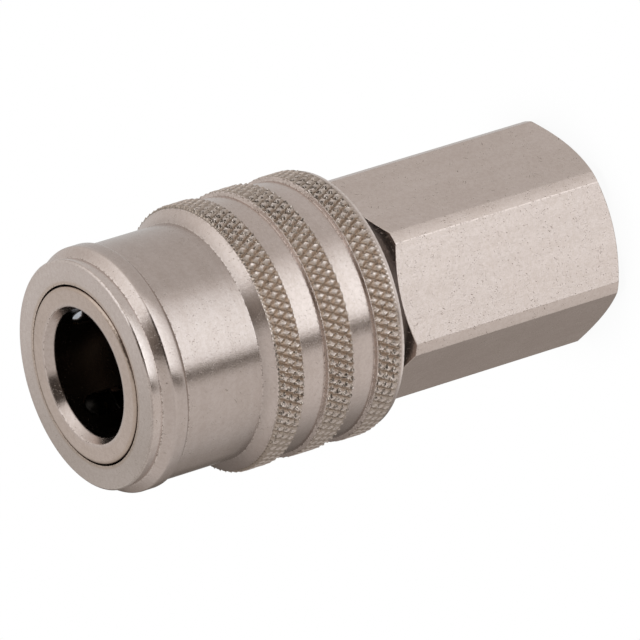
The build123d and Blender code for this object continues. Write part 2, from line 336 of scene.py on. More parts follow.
def build_edge_wear():
    """Edges rubbed bright or nicked dark, each only in places, and a rounded normal."""
    tree, entry, result = new_group(
        "edge wear", {"Width mm": 0.17, "Patch mm": 0.5, "Rounding mm": 0.05}, ["Worn", "Nicked"],
        ["Rounded"])
    true_normal = tree.nodes.new("ShaderNodeNewGeometry").outputs["Normal"]
    width = times(tree, entry.outputs["Width mm"], MM)
    wide = shader_node(tree, "ShaderNodeBevel", {"Radius": width}, samples=6)
    edge = smooth_step(tree, dot_product(tree, wide.outputs["Normal"], true_normal), 0.995, 0.96)
    size = math_node(tree, "DIVIDE", 1.0, entry.outputs["Patch mm"])
    patches = noise(tree, object_millimetres(tree), size, 4.0, 0.7)
    broken = smooth_step(tree, patches, 0.42, 0.58)
    rare = smooth_step(tree, patches, 0.39, 0.46, 1.0, 0.0)
    radius = times(tree, entry.outputs["Rounding mm"], MM)
    rounded = shader_node(tree, "ShaderNodeBevel", {"Radius": radius}, samples=6)
    feed(tree, result, Worn=times(tree, edge, broken), Nicked=times(tree, edge, rare))
    feed(tree, result, Rounded=rounded.outputs["Normal"])


def build_zone():
    """A mask for a part of a turned piece, between two radii, two heights and two sides in millimetres."""
    tree, entry, result = new_group(
        "zone",
        {"Low radius": 0.0, "High radius": 20.0, "Low height": 0.0, "High height": 60.0, "Low side": -20.0,
         "High side": 20.0, "Blend": 0.1, "Side blend": 0.1},
        ["Inside"])
    total = None
    for value, name, blend in zip(
            radius_and_height(tree), ("radius", "height", "side"), ("Blend", "Blend", "Side blend")):
        above = math_node(tree, "SUBTRACT", value, entry.outputs["Low " + name])
        below = math_node(tree, "SUBTRACT", entry.outputs["High " + name], value)
        nearest = math_node(tree, "MINIMUM", above, below)
        mask = smooth_step(tree, nearest, 0.0, entry.outputs[blend])
        total = mask if total is None else times(tree, total, mask)
    feed(tree, result, Inside=total)


def build_drawn_lines():
    """Fine straight lines along the axis, as on bar that was drawn through a die."""
    tree, entry, result = new_group("drawn lines", {"Lines per mm": 7.0}, ["Height", "Shade"])
    stretched = shader_node(
        tree, "ShaderNodeMapping", {"Vector": object_millimetres(tree), "Scale": (1.0, 1.0, 0.03)},
        vector_type="POINT").outputs["Vector"]
    fine = noise(tree, stretched, entry.outputs["Lines per mm"])
    broad = noise(tree, stretched, 0.6, 3.0)
    feed(tree, result, Height=fine, Shade=broad)


# Materials


# Roughness, rings per millimetre and tarnish of spring steel; colour and the same of steel painted nearly
# black as shade in the bore
SPRING_FINISH = (0.28, 9.0, (0.72, 0.66, 0.6))
SHADE_BLACK_FINISH = ((0.05, 0.045, 0.04), 0.4, 6.0, (0.8, 0.75, 0.7))


def nickel_plating(
        name, texture="turning marks", line_depth=0.0015, pits=0.0, scratches=0.0, roughness=0.22,
        shade=1.0, rounding=0.05, worn_width=0.17, patch=0.5, ripple=0.006, anisotropy=0.0, zones=()):
    """Satin nickel over brass: grain, tool lines, cloudy patches, pits, scratches and rubbed edges.

    zones are parts of the piece, as radii and heights in millimetres, each with a tint,
    and some of these tints are painted light and shade.
    """
    material, tree, shader = new_material(name)
    color = tuple(part * shade for part in settings().nickel_color)
    marks = place_group(tree, texture).outputs
    grain = place_group(tree, "satin grain").outputs
    handling = place_group(
        tree, "handling marks", Scratches=scratches, Pit_size=max(0.02, pits), Pits_per_mm=1.35).outputs
    wear = place_group(
        tree, "edge wear", Width_mm=worn_width, Rounding_mm=rounding, Patch_mm=patch).outputs
    cloud = smooth_step(tree, grain["Cloud"], 0.3, 0.75)
    lined = smooth_step(tree, marks["Shade"], 0.35, 0.7)
    mottled = smooth_step(tree, grain["Ripple"], 0.38, 0.62)
    patchy = times_plus(tree, mottled, 0.4, times_plus(tree, lined, 0.3, times(tree, cloud, 0.35)))
    toned = mix_color(tree, patchy, tinted(color, (0.87, 0.85, 0.83)), color + (1.0,))
    toned = mix_color(tree, wear["Worn"], toned, tinted(color, (1.14, 1.14, 1.14)))
    marked = math_node(tree, "MAXIMUM", handling["Pits"] if pits else 0.0, handling["Scratches"])
    marked = math_node(tree, "MAXIMUM", marked, wear["Nicked"])
    toned = mix_color(tree, times(tree, marked, 0.6), toned, tinted(color, (0.36, 0.3, 0.24)))
    for zone, tint in zones:
        inside = place_group(tree, "zone", **zone).outputs["Inside"]
        toned = mix_color(tree, inside, toned, tint + (1.0,), "MULTIPLY")
    rough = smooth_step(tree, grain["Grain"], 0.25, 0.75, roughness - 0.04, roughness + 0.05)
    rough = times_plus(tree, cloud, 0.03, rough)
    rough = times_plus(tree, wear["Worn"], -0.06, rough)
    rough = times_plus(tree, marked, 0.2, rough)
    feed(tree, shader, Base_Color=toned, Roughness=rough)
    shader.inputs["Anisotropic"].default_value = anisotropy
    shader.inputs["Anisotropic Rotation"].default_value = 0.25
    height = times_plus(tree, grain["Grain"], 0.004, times(tree, marks["Height"], line_depth))
    height = times_plus(tree, grain["Ripple"], ripple, height)
    set_bump(tree, shader, times_plus(tree, marked, -0.02, height), Normal=wear["Rounded"])
    return material


def knurl_plating():
    """Nickel on the knurl: dull in the grooves, where dirt stays, rubbed on the diamonds, and with painted
    shade on its two far sides.
    """
    material, tree, shader = new_material("knurled_nickel")
    color = settings().nickel_color
    depth = settings().knurl_depth / MM
    crest = SLEEVE_HIGH.x / MM
    radius, _, side = radius_and_height(tree)
    grain = place_group(tree, "satin grain", Grain_per_mm=12.0).outputs
    high = smooth_step(tree, radius, crest - 0.45 * depth, crest - 0.1 * depth)
    bottom = smooth_step(tree, radius, crest - 0.98 * depth, crest - 0.75 * depth)
    grime = tinted(color, (0.74, 0.71, 0.64))
    dirty = mix_color(tree, bottom, grime, tinted(color, (0.9, 0.88, 0.82)))
    cloud = smooth_step(tree, grain["Cloud"], 0.3, 0.7, 0.75, 1.0)
    toned = mix_color(tree, times(tree, high, cloud), dirty, tinted(color, (1.07, 1.08, 1.07)))
    # painted shade on the two far sides of the knurl, mostly in the grooves
    one_side = math_node(tree, "SUBTRACT", side, 2.5)
    outermost = math_node(tree, "MAXIMUM", one_side, times(tree, side, -1.0))
    painted_side_shade = times(tree, smooth_step(tree, outermost, 6.5, 12.5), 0.8)
    painted_side_shade_in_grooves = times(tree, painted_side_shade, times_plus(tree, high, -0.72, 1.0))
    toned = mix_color(tree, painted_side_shade_in_grooves, toned, (0.34, 0.31, 0.28, 1.0), "MULTIPLY")
    rough = times_plus(tree, grain["Grain"], 0.12, 0.12)
    rough = math_node(tree, "SUBTRACT", rough, times(tree, high, 0.06))
    feed(tree, shader, Base_Color=toned, Roughness=rough)
    dented = times(tree, noise(tree, object_millimetres(tree), 3.6), 0.09)
    set_bump(tree, shader, times_plus(tree, grain["Grain"], 0.014, dented))
    return material


def turned_metal(name, color, roughness, rings, tarnish):
    """Bare turned metal with tool rings and a little tarnish."""
    material, tree, shader = new_material(name)
    marks = place_group(tree, "turning marks", Rings_per_mm=rings).outputs
    grain = place_group(tree, "satin grain", Cloud_mm=2.5).outputs
    cloud = smooth_step(tree, grain["Cloud"], 0.35, 0.7)
    ringed = smooth_step(tree, marks["Shade"], 0.35, 0.7)
    fresh = times(tree, math_node(tree, "ADD", cloud, ringed), 0.5)
    toned = mix_color(tree, fresh, tinted(color, tarnish), tuple(color) + (1.0,))
    rough = times_plus(tree, grain["Grain"], 0.14, roughness - 0.07)
    feed(tree, shader, Base_Color=toned, Roughness=rough)
    set_bump(tree, shader, times(tree, marks["Height"], 0.008))
    return material


def polished_steel():
    """Hardened steel of the balls: polished, with faint contact rings and spots."""
    material, tree, shader = new_material("polished_steel")
    grain = place_group(tree, "satin grain", Grain_per_mm=14.0, Cloud_mm=0.9).outputs
    handling = place_group(
        tree, "handling marks", Pits_per_mm=2.5, Pit_size=0.08, Scratches=0.6).outputs
    cloud = smooth_step(tree, grain["Cloud"], 0.35, 0.7)
    toned = mix_color(tree, cloud, (0.52, 0.54, 0.58, 1.0), (0.66, 0.69, 0.74, 1.0))
    marked = math_node(tree, "MAXIMUM", handling["Pits"], handling["Scratches"])
    stained = mix_color(tree, times(tree, marked, 0.6), toned, (0.2, 0.19, 0.18, 1.0))
    rough = times_plus(tree, marked, 0.2, times_plus(tree, cloud, 0.06, 0.1))
    feed(tree, shader, Base_Color=stained, Roughness=rough)
    return material


def dark_shaded_ball_steel():
    """The same steel, painted nearly black as shade, for the balls that lie lowest in the bore."""
    material, tree, shader = new_material("dark_shaded_ball_steel")
    grain = place_group(tree, "satin grain", Grain_per_mm=8.0, Cloud_mm=0.7).outputs
    cloud = smooth_step(tree, grain["Cloud"], 0.4, 0.7)
    toned = mix_color(tree, cloud, (0.008, 0.007, 0.006, 1.0), (0.02, 0.017, 0.015, 1.0))
    feed(tree, shader, Base_Color=toned, Roughness=times_plus(tree, cloud, 0.1, 0.35))
    set_bump(tree, shader, times(tree, grain["Grain"], 0.01))
    return material


def seal_rubber():
    """Moulded black rubber, matt, with a fine skin texture and traces of grease."""
    material, tree, shader = new_material("seal_rubber", metallic=0.0)
    grain = place_group(tree, "satin grain", Grain_per_mm=7.0, Cloud_mm=1.8).outputs
    color = settings().rubber_color
    cloud = smooth_step(tree, grain["Cloud"], 0.35, 0.7)
    greased = tuple(part * 1.9 + 0.004 for part in color) + (1.0,)
    toned = mix_color(tree, cloud, tuple(color) + (1.0,), greased)
    feed(tree, shader, Base_Color=toned, Roughness=times_plus(tree, cloud, -0.2, 0.62))
    set_bump(tree, shader, times(tree, grain["Grain"], 0.03), strength=0.6)
    return material


def white_plastic():
    """Turned white plastic of the ring behind the plug seal."""
    material, tree, shader = new_material("white_plastic", metallic=0.0)
    marks = place_group(tree, "turning marks", Rings_per_mm=5.0).outputs
    grain = place_group(tree, "satin grain", Cloud_mm=2.0).outputs
    cloud = smooth_step(tree, grain["Cloud"], 0.35, 0.7)
    toned = mix_color(tree, cloud, (0.66, 0.64, 0.58, 1.0), (0.8, 0.79, 0.75, 1.0))
    feed(tree, shader, Base_Color=toned, Roughness=times_plus(tree, cloud, 0.1, 0.4))
    set_bump(tree, shader, times(tree, marks["Height"], 0.01))
    return material


# Mesh helpers


def new_piece(name, mesh_builder, material, body, smooth_angle, even_normals=True):
    """A mesh object at the origin, made by a bmesh function, that rides on a body."""
    mesh = bpy.data.meshes.new(name)
    work = bmesh.new()
    mesh_builder(work)
    for face in work.faces:
        face.smooth = True
    work.to_mesh(mesh)
    work.free()
    mesh.materials.append(material)
    mesh.set_sharp_from_angle(angle=smooth_angle)
    piece = bpy.data.objects.new(name, mesh)
    bpy.context.scene.collection.objects.link(piece)
    if even_normals:
        weighted = piece.modifiers.new("even normals", "WEIGHTED_NORMAL")
        weighted.keep_sharp = True
    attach(piece, body)
    return piece


def everything(work):
    """All of a work mesh, as the geometry that an operator asks for."""
    return work.verts[:] + work.edges[:] + work.faces[:]


def closed_outline(work, corners, top):
    """Points of a closed section in the XZ plane, from radius and depth below the top, in mm."""
    points = [work.verts.new((radius * MM, 0, top - depth * MM)) for radius, depth in corners]
    for index, point in enumerate(points):
        work.edges.new((point, points[index - 1]))
    return points


def soften(work, geometry, size, steps=2, affect="VERTICES"):
    """Round some corners of an outline that is still flat, or some edges of a solid."""
    bmesh.ops.bevel(
        work, geom=geometry, offset=size * MM, offset_type="OFFSET", segments=steps, profile=0.5,
        affect=affect, material=-1, clamp_overlap=True)


def wind(work, turns, steps, rise=0.0, use_merge=False, use_duplicate=False):
    """Sweep or copy a work mesh round Z, with a rise at each step."""
    bmesh.ops.spin(
        work, geom=everything(work), cent=(0, 0, 0), axis=(0, 0, 1), dvec=(0, 0, rise),
        angle=2 * math.pi * turns, steps=steps, use_merge=use_merge, use_duplicate=use_duplicate)


def turn_solid(work):
    """Turn the outline in the work mesh into a closed solid round Z."""
    wind(work, 1, settings().ring_steps, use_merge=True)
    bmesh.ops.remove_doubles(work, verts=work.verts, dist=MERGE_DISTANCE)
    bmesh.ops.recalc_face_normals(work, faces=work.faces)


def cut_away(work, place, outward):
    """Cut off what lies beyond a plane, and give the new edges."""
    cut = bmesh.ops.bisect_plane(
        work, geom=everything(work), dist=1e-8, plane_co=place, plane_no=outward, clear_outer=True)
    return [item for item in cut["geom_cut"] if isinstance(item, bmesh.types.BMEdge)]


# Locking sleeve


# Radius and depth below the sleeve's front face of each corner, in millimetres
COLLAR_RADIUS = 11.6
SLEEVE_LIP = [(10.7, 0.0), (10.85, 0.15), (10.72, 1.23)]
SLEEVE_COLLAR = [(COLLAR_RADIUS, 1.96), (COLLAR_RADIUS, 3.38), (11.24, 3.75)]
SLEEVE_BAND = [(11.24, 11.82)]
KNURL_BED_RADIUS = 12.39
# The beds of the three knurled bands, the grooves between them, and the rims before two of the beds
SLEEVE_BEDS = [
    (KNURL_BED_RADIUS, 12.74), (KNURL_BED_RADIUS, 15.55), (12.25, 15.58), (12.25, 18.0),
    (12.61, 18.14), (12.61, 18.21), (KNURL_BED_RADIUS, 18.25), (KNURL_BED_RADIUS, 21.07),
    (12.25, 21.1), (12.25, 23.5),
    (12.61, 23.64), (12.61, 23.71), (KNURL_BED_RADIUS, 23.75), (KNURL_BED_RADIUS, 26.45),
]
SLEEVE_REAR = [(12.38, 26.5), (12.38, 26.8)]
SLEEVE_INSIDE = [
    (10.85, 26.8), (10.85, 18.5), (10.3, 17.95), (10.3, 15.45), (10.95, 15.45), (10.95, 14.55),
    (10.3, 14.55), (10.3, 13.8), (9.2, 13.8), (9.2, 4.8), (8.6, 4.3), (8.6, 3.6), (9.13, 1.85),
    (9.13, 1.05), (8.51, 0.45), (8.51, 0.0),
]
EDGE_ROUNDING = 0.05
COLLAR_ROUNDING = 0.14
# Parts of the sleeve, in millimetres above the rear face, and the tint of each
SLEEVE_ZONES = [
    # the plain band
    ({"Low height": 41.0, "High height": 51.6, "Blend": 0.6}, (0.88, 0.88, 0.88)),
    # the edge of the mouth
    ({"Low height": 53.2, "High radius": 8.95, "Blend": 0.3}, (0.86, 0.81, 0.75)),
    # the rear rim, with a painted highlight
    ({"Low height": 26.6, "High height": 26.9, "Low radius": 12.2, "Blend": 0.03}, (1.3, 1.35, 1.38)),
    # the lip, with a painted highlight on one side
    ({"Low height": 52.25, "High height": 53.3, "Low radius": 10.5, "Blend": 0.1, "Low side": -4.0,
      "Side blend": 5.0}, (1.14, 1.17, 1.19)),
    # the front face, with painted light, and painted shade on its darker side
    ({"Low height": 53.3, "Blend": 0.1}, (1.1, 1.13, 1.15)),
    ({"Low height": 53.3, "Blend": 0.1, "High side": 5.0, "Side blend": 13.0}, (0.76, 0.75, 0.73)),
    # painted contact shadow on the rear half, on one side
    ({"High height": 45.0, "Blend": 4.0, "High side": -6.0, "Side blend": 7.0}, (0.45, 0.42, 0.4)),
]


def sleeve_mesh(work):
    """The turned sleeve under its knurl."""
    outside = SLEEVE_LIP + SLEEVE_COLLAR + SLEEVE_BAND + SLEEVE_BEDS + SLEEVE_REAR
    points = closed_outline(work, outside + SLEEVE_INSIDE, SLEEVE_HIGH.z)
    rear = len(outside)
    soften(work, points[:2] + points[rear - 1:rear + 1] + points[-1:], EDGE_ROUNDING)
    collar = [point for point in work.verts if abs(point.co.x - COLLAR_RADIUS * MM) < 1e-9]
    soften(work, collar, COLLAR_ROUNDING, 3)
    turn_solid(work)


class COUPLING_OT_locking_sleeve(bpy.types.Operator):
    """Make the turned sleeve with its lip, collar, plain band and grooves"""

    bl_idname = "coupling.locking_sleeve"
    bl_label = "Locking sleeve"

    def execute(self, context):
        finish = nickel_plating(
            "sleeve_nickel", roughness=0.19, scratches=0.5, worn_width=0.3, patch=0.25, anisotropy=0.5,
            zones=SLEEVE_ZONES)
        sleeve = new_piece(
            "sleeve_turned", sleeve_mesh, finish, "sleeve", math.radians(25))
        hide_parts("locking_sleeve")
        return {"FINISHED"}


# Knurl


# Depths at which each band starts and ends: on its bed, at its crest, at its crest, on its bed
KNURL_BANDS = [
    (12.74, 12.93, 15.5, 15.55), (18.06, 18.15, 21.03, 21.07), (23.56, 23.65, 26.12, 26.45),
]
# How far the band's underside lies in its bed and its crest inside the sleeve's size, in millimetres
BED_OVERLAP = 0.02
CREST_PLAY = 0.01
# Rows of diamonds in the flat field that a strip is cut from
FIELD_ROWS = 8
# A diamond's sloping side and its blunt top's slope, as shares of half its width
SIDE_SHARE = 0.63
BLUNT_SHARE = 0.16
# How far the blunt top slopes down and how far its height varies, as shares of the knurl's depth
BLUNT_DEPTH = 0.1
UNEVENNESS = 0.09


def knurl_strip(work, width, low, high):
    """A flat strip of knurl, one diamond wide, between two heights."""
    angle = settings().knurl_angle
    depth = settings().knurl_depth
    length = width / math.tan(angle)
    half_cell = width * math.cos(angle) / 2
    bmesh.ops.create_grid(work, x_segments=FIELD_ROWS, y_segments=FIELD_ROWS, size=FIELD_ROWS / 2)
    bmesh.ops.rotate(
        work, verts=work.verts, cent=(0, 0, 0), matrix=Matrix.Rotation(math.pi / 4, 3, "Z"))
    bmesh.ops.scale(work, verts=work.verts, vec=(width / math.sqrt(2), length / math.sqrt(2), 1))
    bmesh.ops.inset_individual(
        work, faces=work.faces[:], thickness=SIDE_SHARE * half_cell, depth=depth, use_even_offset=True)
    tops = [face for face in work.faces if face.calc_center_median().z > 0.9 * depth]
    bmesh.ops.inset_individual(
        work, faces=tops, thickness=BLUNT_SHARE * half_cell, depth=-BLUNT_DEPTH * depth,
        use_even_offset=True)
    bmesh.ops.translate(work, verts=work.verts, vec=(width / 2, (low + high) / 2, 0))
    cut_away(work, (0, 0, 0), (-1, 0, 0))
    cut_away(work, (width, 0, 0), (1, 0, 0))
    cut_away(work, (0, low, 0), (0, -1, 0))
    cut_away(work, (0, high, 0), (0, 1, 0))


def roughen_diamonds(work, crest, seed):
    """Give each corner of a diamond's top a slightly different height, as pressed knurls have."""
    chance = random.Random(seed)
    depth = settings().knurl_depth
    for vertex in work.verts:
        radius = vertex.co.xy.length
        if radius > crest - 0.2 * depth:
            lowered = radius - chance.uniform(0.0, UNEVENNESS) * depth
            vertex.co.xy *= lowered / radius


def knurl_mesh(work, band, seed):
    """One knurled band: a ring of diamonds with cut ends, closed underneath."""
    bed_start, crest_start, crest_end, bed_end = band
    count = settings().knurl_count
    crest = SLEEVE_HIGH.x - CREST_PLAY * MM
    low = SLEEVE_HIGH.z - crest_end * MM
    high = SLEEVE_HIGH.z - crest_start * MM
    knurl_strip(work, 2 * math.pi * crest / count, low, high)
    for vertex in work.verts:
        turn = vertex.co.x / crest
        radius = crest - settings().knurl_depth + vertex.co.z
        vertex.co = (radius * math.cos(turn), radius * math.sin(turn), vertex.co.y)
    wind(work, 1, count, use_duplicate=True)
    bmesh.ops.remove_doubles(work, verts=work.verts, dist=2 * MERGE_DISTANCE)
    roughen_diamonds(work, crest, seed)
    ends = []
    for border, bed in ((low, bed_end), (high, bed_start)):
        rim = [
            edge for edge in work.edges
            if edge.is_boundary and abs(edge.verts[0].co.z - border) < MERGE_DISTANCE
        ]
        grown = bmesh.ops.extrude_edge_only(work, edges=rim)["geom"]
        for vertex in (item for item in grown if isinstance(item, bmesh.types.BMVert)):
            scale = (KNURL_BED_RADIUS - BED_OVERLAP) * MM / vertex.co.xy.length
            vertex.co = (vertex.co.x * scale, vertex.co.y * scale, SLEEVE_HIGH.z - bed * MM)
        ends += [item for item in grown if isinstance(item, bmesh.types.BMEdge)]
    bmesh.ops.bridge_loops(work, edges=ends)
    bmesh.ops.recalc_face_normals(work, faces=work.faces)


class COUPLING_OT_knurl(bpy.types.Operator):
    """Make the three knurled bands of the sleeve"""

    bl_idname = "coupling.knurl"
    bl_label = "Knurled bands"

    def execute(self, context):
        finish = knurl_plating()
        for number, band in enumerate(KNURL_BANDS, 1):
            mesh = lambda work: knurl_mesh(work, band, number)
            new_piece(
                f"knurl_band_{number}", mesh, finish, "sleeve", math.radians(12))
        return {"FINISHED"}


# Hexagonal adapter


# Radius and height above the rear face of each corner, in millimetres
BORE_RADIUS = 6.58
ADAPTER_OUTSIDE = [(9.1, 0.0), (10.63, 0.8833), (10.63, 23.95), (9.1, 24.8333), (9.1, 26.95)]
ADAPTER_INSIDE = [
    (7.8, 26.95), (7.8, 17.1), (5.2, 17.1), (5.2, 14.38), (BORE_RADIUS, 13.0),
    (BORE_RADIUS, 0.6), (7.18, 0.0),
]
HALF_ACROSS_FLATS = 9.5
END_ROUNDING = 0.08


def adapter_mesh(work):
    """The turned bar with its bores, milled to six flats."""
    corners = [(radius, -height) for radius, height in ADAPTER_OUTSIDE + ADAPTER_INSIDE]
    points = closed_outline(work, corners, 0.0)
    soften(work, [points[0], points[4]], END_ROUNDING)
    turn_solid(work)
    for side in range(6):
        turn = math.radians(30 + 60 * side)
        outward = Vector((math.cos(turn), math.sin(turn), 0))
        rim = cut_away(work, outward * HALF_ACROSS_FLATS * MM, outward)
        bmesh.ops.edgeloop_fill(work, edges=rim)
    bmesh.ops.recalc_face_normals(work, faces=work.faces)
    flat_edges = [
        edge for edge in work.edges
        if any(len(face.verts) > 8 for face in edge.link_faces)
        and edge.calc_face_angle(0.0) > math.radians(10)
    ]
    soften(work, flat_edges, EDGE_ROUNDING, affect="EDGES")


class COUPLING_OT_hex_adapter(bpy.types.Operator):
    """Make the hexagonal end with its turned corners and its bore"""

    bl_idname = "coupling.hex_adapter"
    bl_label = "Hexagonal adapter"

    def execute(self, context):
        finish = nickel_plating(
            "hexagon_nickel", texture="drawn lines", line_depth=0.0006, pits=0.12, scratches=1.0,
            roughness=0.2, shade=1.08, patch=0.3, ripple=0.001)
        adapter = new_piece(
            "hexagon_turned", adapter_mesh, finish, "housing", math.radians(12))
        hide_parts("hex_adapter")
        return {"FINISHED"}


# Pipe thread


# Height of the ridge's middle where it starts, and depth of its root in the wall, in millimetres
THREAD_START = 1.25
THREAD_OVERLAP = 0.04
THREAD_TURNS = 8
# Half the ridge's width at its root and at its crest, as shares of the pitch
ROOT_SHARE = 0.46
CREST_SHARE = 0.07


def thread_mesh(work):
    """The ridge of the internal pipe thread, wound as a helix."""
    pitch = settings().thread_pitch
    root = (BORE_RADIUS + THREAD_OVERLAP) * MM
    crest = BORE_RADIUS * MM - settings().thread_height
    outline = [(root, -ROOT_SHARE), (crest, -CREST_SHARE), (crest, CREST_SHARE), (root, ROOT_SHARE)]
    points = [work.verts.new((radius, 0, THREAD_START * MM + share * pitch)) for radius, share in outline]
    work.faces.new(points)
    wind(work, THREAD_TURNS, STEPS_PER_TURN * THREAD_TURNS, pitch / STEPS_PER_TURN)
    bmesh.ops.recalc_face_normals(work, faces=work.faces)


class COUPLING_OT_pipe_thread(bpy.types.Operator):
    """Make the internal pipe thread of the hexagonal end"""

    bl_idname = "coupling.pipe_thread"
    bl_label = "Pipe thread"

    def execute(self, context):
        finish = nickel_plating("thread_nickel", line_depth=0.006, roughness=0.28, shade=0.92)
        new_piece(
            "pipe_thread_ridge", thread_mesh, finish, "housing", math.radians(20))
        return {"FINISHED"}


# Springs


# Each spring's piece, CAD node, joint, wire in millimetres and number of turns
SPRINGS = [
    ("sleeve_coil", "sleeve_spring", "sleeve_slide", 1.1, 5.5),
    ("return_coil", "ball_return_spring", "push_ring_slide", 0.4, 4.5),
    ("valve_coil", "valve_spring", "valve_slide", 0.9, 6.5),
]
# Sides of the wire's round section
WIRE_SIDES = 14


def spring_mesh(work, node, wire, turns):
    """A coil of round wire as long and as wide as its CAD node."""
    low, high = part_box(node)
    half_wire = wire * MM / 2
    start = Matrix.Translation((high.x - half_wire, 0, low.z + half_wire))
    bmesh.ops.create_circle(
        work, segments=WIRE_SIDES, radius=half_wire, matrix=start @ Matrix.Rotation(math.pi / 2, 4, "X"))
    steps = int(turns * STEPS_PER_TURN)
    wind(work, turns, steps, (high.z - low.z - 2 * half_wire) / steps)
    bmesh.ops.holes_fill(work, edges=[edge for edge in work.edges if edge.is_boundary])
    bmesh.ops.recalc_face_normals(work, faces=work.faces)


class COUPLING_OT_springs(bpy.types.Operator):
    """Make the three springs"""

    bl_idname = "coupling.springs"
    bl_label = "Springs"

    def execute(self, context):
        bright = turned_metal("spring_steel", settings().steel_color, *SPRING_FINISH)
        dark = turned_metal("dark_spring_steel", *SHADE_BLACK_FINISH)
        for piece_name, node, joint_name, wire, turns in SPRINGS:
            mesh = lambda work: spring_mesh(work, node, wire, turns)
            # the return spring, seen through the slots, is painted nearly black as shade
            finish = dark if node == "ball_return_spring" else bright
            coil = new_piece(
                piece_name, mesh, finish, "housing", math.radians(40),
                even_normals=False)
            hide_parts(node)
            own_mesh(coil)
        return {"FINISHED"}


# Pieces whose CAD shape stays


# Parts of the socket body, in millimetres above the adapter's rear face, and the tint of each
BODY_ZONES = [
    # the inside of the mouth, painted dark as shade
    ({"High radius": 6.2, "High height": 52.8, "Blend": 0.12}, (0.21, 0.2, 0.18)),
    # the front face, darker towards the gap round it
    ({"Low height": 53.0, "Low radius": 6.6, "Blend": 0.3}, (1.0, 0.98, 0.95)),
    ({"Low height": 53.0, "Low radius": 7.9, "Blend": 0.3}, (0.86, 0.83, 0.79)),
]


def give_material(material, *nodes):
    """Put a material on CAD nodes."""
    for node in nodes:
        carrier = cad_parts[node]
        carrier.data.materials.clear()
        carrier.data.materials.append(material)


class COUPLING_OT_socket_body(bpy.types.Operator):
    """Finish the socket body that shows in the mouth"""

    bl_idname = "coupling.socket_body"
    bl_label = "Socket body"

    def execute(self, context):
        finish = nickel_plating(
            "body_nickel", roughness=0.2, scratches=0.4, rounding=0.25, anisotropy=0.4,
            zones=BODY_ZONES)
        give_material(finish, "socket_body")
        return {"FINISHED"}


class COUPLING_OT_inner_pieces(bpy.types.Operator):
    """Finish the balls, rings, seals and valve"""

    bl_idname = "coupling.inner_pieces"
    bl_label = "Inner pieces"

    def execute(self, context):
        steel = settings().steel_color
        washer = turned_metal("washer_steel", steel, 0.36, 5.0, (0.8, 0.77, 0.73))
        brass = turned_metal("turned_brass", settings().brass_color, 0.3, 6.0, (0.78, 0.68, 0.55))
        give_material(polished_steel(), "locking_ball_1", "locking_ball_4")
        # these two balls are painted nearly black as the shade in the bore
        give_material(dark_shaded_ball_steel(), "locking_ball_2", "locking_ball_3")
        give_material(turned_metal("snap_ring_steel", steel, *SPRING_FINISH), "sleeve_snap_ring")
        give_material(washer, "sleeve_stop_washer", "rear_spring_washer")
        give_material(brass, "valve_nose", "valve_stem", "valve_guide")
        # the push ring is painted nearly black as shade in the bore
        give_material(turned_metal("shade_black_steel", *SHADE_BLACK_FINISH), "ball_push_ring")
        give_material(seal_rubber(), "plug_seal", "valve_seal", "adapter_seal")
        give_material(white_plastic(), "seal_backup_ring")
        return {"FINISHED"}


# Stage


# The studio's own directions, in the coupling's frame: the photograph shows the coupling lying down
STUDIO_RIGHT = (-0.2072, -0.5379, -0.8172)
STUDIO_UP = (0.9673, 0.0126, -0.2535)
STUDIO_FRONT = (0.1466, -0.8429, 0.5177)
# Away from the camera and a little down, where the table lies in shade
BEHIND_COUPLING = tuple(
    -0.05 * right - 0.27 * up - 0.96 * front
    for right, up, front in zip(STUDIO_RIGHT, STUDIO_UP, STUDIO_FRONT))
# The camera's target in millimetres, and its lens and sensor
VIEW_TARGET = (-1.49, -0.26, 27.91)
LENS = 518.35
SENSOR_WIDTH = 36.0
# The floor's radius, and how far it lies below the coupling
FLOOR_RADIUS = 1.2
FLOOR_GAP = 0.02 * MM
WHITE = (1.0, 1.0, 1.0, 1.0)


